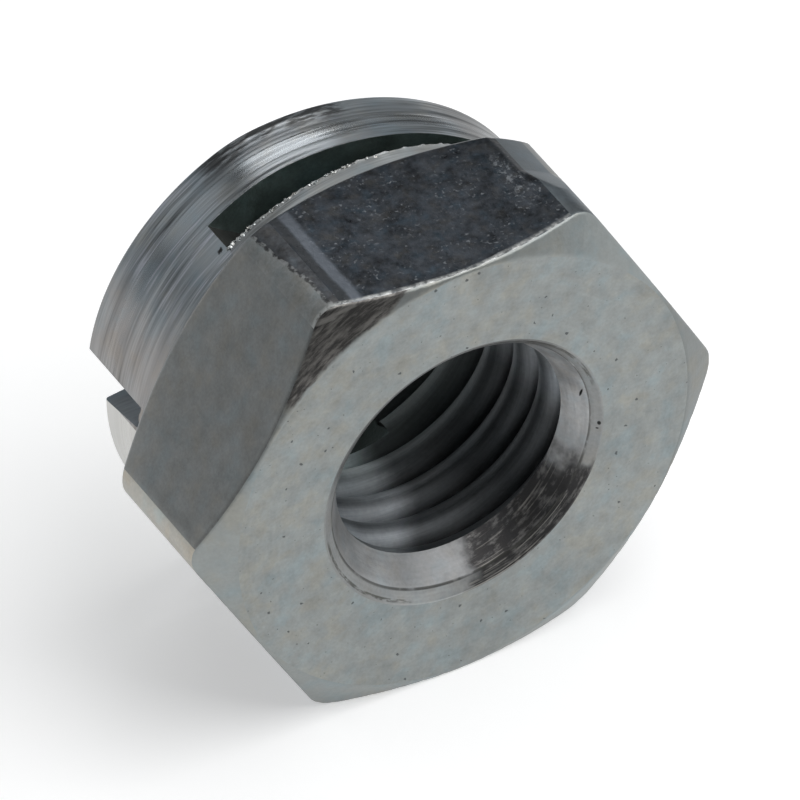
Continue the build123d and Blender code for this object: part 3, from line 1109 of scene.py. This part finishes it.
def mouth_marks(paint, colour, cloud, scored, wobble):
    """Painted shade along the step between the flare and the cone, worn arcs along the lip and a few pits.
    """
    # painted shade along the step between the flare and the cone
    step_shade = paint.band(paint.y, FLARE_DEPTH - FLARE_STEP_WIDTH / 2, FLARE_DEPTH + FLARE_STEP_WIDTH / 2, 0.03)
    colour = paint.over(colour, (0.07, 0.07, 0.065), paint.times(step_shade, paint.step(cloud, 0.3, 0.5)), 0.8)
    lip = paint.times(paint.band(paint.r, *LIP, 0.03), paint.step(scored, 0.38, 0.58))
    for limits in LIP_ARCS:
        worn = paint.times(lip, paint.arc(limits, 0.2, wobble))
        colour = paint.over(colour, (0.075, 0.075, 0.065), worn, 0.8)
    for centre, size in MOUTH_PITS:
        colour = paint.mix(colour, (0.03, 0.03, 0.03), paint.mark(paint.x, paint.z, centre, size, 0.6))
    return colour


def thread_finish():
    """Thread: dark, in painted shade, with fine streaks along the turns; painted light at the bottom, at
    the upper right and further in.
    """
    paint = Paint("thread")
    streaks = paint.noise((2.0, 0.06, 2.0), 61, 3.0, 0.6)
    grain = paint.noise(0.15, 62)
    cloud = paint.noise(1.0, 63)
    along = paint.ramp(paint.math("MINIMUM", paint.y, THREAD_DRIFT_END), -THREAD_DRIFT, paint.angle)
    lighter = paint.arc(THREAD_PAINTED_LIGHT, 0.3, along)
    upper = paint.arc(THREAD_PAINTED_LIGHT_UPPER, 0.5)
    # painted light in two bands of angles over painted shade elsewhere
    gain = paint.ramp(upper, 1.5, paint.ramp(lighter, 1.5, 0.5))
    value = paint.times(paint.total(1.0, (streaks, 0.6), (grain, 0.3), (cloud, 0.5)), gain)
    # painted light: lighter further in
    deep = paint.step(paint.y, *THREAD_DEEP)
    plated = paint.mix((0.17, 0.18, 0.19), (0.37, 0.405, 0.405), deep)
    colour = paint.light(paint.vector("MULTIPLY", paint.tinted(WHITE, 64, 1.4, 0.3), plated), value)
    relief = paint.total(0.5, (streaks, 0.7), (grain, 0.4))
    return paint.finish(colour, paint.total(0.68, (cloud, 0.2), (deep, 0.25)), relief, 0.008)


def sawn_finish(name, colour, marks):
    """Sawn faces: dull, with saw marks along the cut, and painted shade darker towards the bore and towards
    +X.
    """
    paint = Paint(name)
    saw = paint.noise(marks, 71)
    cloud = paint.noise(0.8, 72)
    # painted shade: darker towards the bore and towards +X
    value = paint.total(paint.step(paint.r, *SAWN_SHADE, 0.06, 1.0), (saw, 0.5), (cloud, 0.6))
    value = paint.times(value, paint.step(paint.x, *SAWN_SHADE_X, 1.0, 0.72))
    tint = paint.light(paint.tinted(colour, 73), value)
    return paint.finish(tint, paint.total(0.5, (cloud, 0.2)), saw, 0.012)


def burr_finish():
    """Burr: torn bright metal."""
    paint = Paint("burr")
    grain = paint.noise(0.05, 81)
    colour = paint.light(paint.tinted((0.6, 0.61, 0.6), 82, 0.3), paint.total(1.0, (grain, 0.8)))
    return paint.finish(colour, paint.total(0.3, (grain, 0.3)), grain, 0.01)


finishes = {
    "bearing": bearing_finish(),
    "chamfer": chamfer_finish(),
    "rolled": rolled_finish(),
    "smooth": smooth_finish("smooth", SMOOTH),
    "corner": corner_finish(),
    "chamfer_rear": smooth_finish("chamfer_rear", (0.17, 0.182, 0.19)),
    "land": turned_finish("land", (0.33, 0.344, 0.347), 0.5, 1.0),
    "collar": turned_finish("collar", (0.268, 0.288, 0.304), 0.27, 2.4),
    "flare": mouth_finish("flare", (0.29, 0.297, 0.295), 0.0, 0.3),
    "countersink": mouth_finish("countersink", (0.4, 0.405, 0.408), 0.85, -0.35),
    "thread": thread_finish(),
    "slot": sawn_finish("slot", (0.36, 0.45, 0.43), SAW_MARKS),
    "slot_end": sawn_finish("slot_end", (0.12, 0.115, 0.11), SAW_MARKS),
    "tip": sawn_finish("tip", (0.34, 0.36, 0.38), SAW_MARKS_LEVEL),
    "rim": bearing_finish("rim"),
    "burr": burr_finish(),
}
nut = make_object(nut_mesh(), finishes)
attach(nut, "root")
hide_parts(NODE)


def make_camera():
    """The photo's view: turned and raised round the nut, and rolled a little."""
    a, e = radians((CAMERA_AZIMUTH, CAMERA_ELEVATION))
    back = Vector((math.sin(a) * math.cos(e), -math.cos(a) * math.cos(e), math.sin(e)))
    right = Vector((math.cos(a), math.sin(a), 0))
    up = back.cross(right)
    roll = Matrix.Rotation(math.radians(CAMERA_ROLL), 3, back)
    right, up = roll @ right, roll @ up
    data = bpy.data.cameras.new("camera")
    data.lens, data.sensor_width = LENS, SENSOR
    data.clip_start, data.clip_end = (limit * MM for limit in CLIP)
    camera = bpy.data.objects.new("camera", data)
    turn = Matrix((right, up, back)).transposed().to_4x4()
    camera.matrix_world = Matrix.Translation((Vector(AIM) + back * CAMERA_DISTANCE) * MM) @ turn
    bpy.context.collection.objects.link(camera)
    bpy.context.scene.camera = camera


def make_floor():
    """A plain pale floor that shows white and keeps the nut's shadow."""
    mesh = bpy.data.meshes.new("floor")
    sides = ((-1, -1), (1, -1), (1, 1), (-1, 1))
    corners = [(FLOOR_REACH * MM * x, FLOOR_REACH * MM * y, GROUND) for x, y in sides]
    mesh.from_pydata(corners, [], [(0, 1, 2, 3)])
    floor = bpy.data.objects.new("floor", mesh)
    bpy.context.collection.objects.link(floor)
    material = bpy.data.materials.new("floor")
    material.use_nodes = True
    nodes = Nodes(material.node_tree)
    shader = nodes.tree.nodes["Principled BSDF"]
    shader.inputs["Base Color"].default_value = (0.8, 0.8, 0.8, 1)
    shader.inputs["Roughness"].default_value = 0.9
    shader.inputs["Specular IOR Level"].default_value = 0.1
    shader.inputs["Emission Color"].default_value = (1, 1, 1, 1)
    rays = nodes.node("LightPath").outputs
    seen = nodes.math("MAXIMUM", rays["Is Camera Ray"], rays["Is Glossy Ray"])
    seen = nodes.math("MAXIMUM", seen, rays["Is Transmission Ray"])
    nodes.fill(shader.inputs["Emission Strength"], nodes.times(seen, FLOOR_GLOW))
    mesh.materials.append(material)


def area_lamp(name, direction, size, power):
    """A rectangular lamp that faces the nut from this direction."""
    data = bpy.data.lights.new(name, "AREA")
    data.shape = "RECTANGLE"
    data.size, data.size_y = (side * MM for side in size)
    data.energy = power
    lamp = bpy.data.objects.new(name, data)
    towards = Vector(direction).normalized()
    lamp.location = (Vector(LAMP_TARGET) + towards * LAMP_DISTANCE) * MM
    lamp.rotation_mode = "QUATERNION"
    lamp.rotation_quaternion = towards.to_track_quat("Z", "Y")
    bpy.context.collection.objects.link(lamp)


def make_world():
    """Soft light that falls from the horizon up, with dark openings and lit panels."""
    world = bpy.data.worlds.new("studio")
    world.use_nodes = True
    bpy.context.scene.world = world
    nodes = Nodes(world.node_tree)
    direction = nodes.node("TexCoord").outputs["Generated"]

    def patch(towards, inner, outer, inside, outside):
        """A level that holds inside a cone of directions, and another outside it."""
        dot = nodes.node("VectorMath", operation="DOT_PRODUCT")
        nodes.feed(dot, direction, Vector(towards).normalized())
        inner, outer = radians((inner, outer))
        return nodes.step(dot.outputs["Value"], math.cos(outer), math.cos(inner), outside, inside)

    level = patch((0, 0, 1), *SKY_ANGLES, SKY, HORIZON)
    for towards, inner, outer, low in DARK_OPENINGS:
        level = nodes.math("MINIMUM", level, patch(towards, inner, outer, low, 1.0))
    for towards, inner, outer, high in LIT_PANELS:
        level = nodes.math("MAXIMUM", level, patch(towards, inner, outer, high, 0.0))
    background = world.node_tree.nodes["Background"]
    background.inputs["Color"].default_value = SKY_COLOUR
    nodes.fill(background.inputs["Strength"], level)


make_camera()
make_floor()
make_world()
for lamp in LAMPS:
    area_lamp(*lamp)
bpy.context.scene.view_settings.view_transform = "Standard"
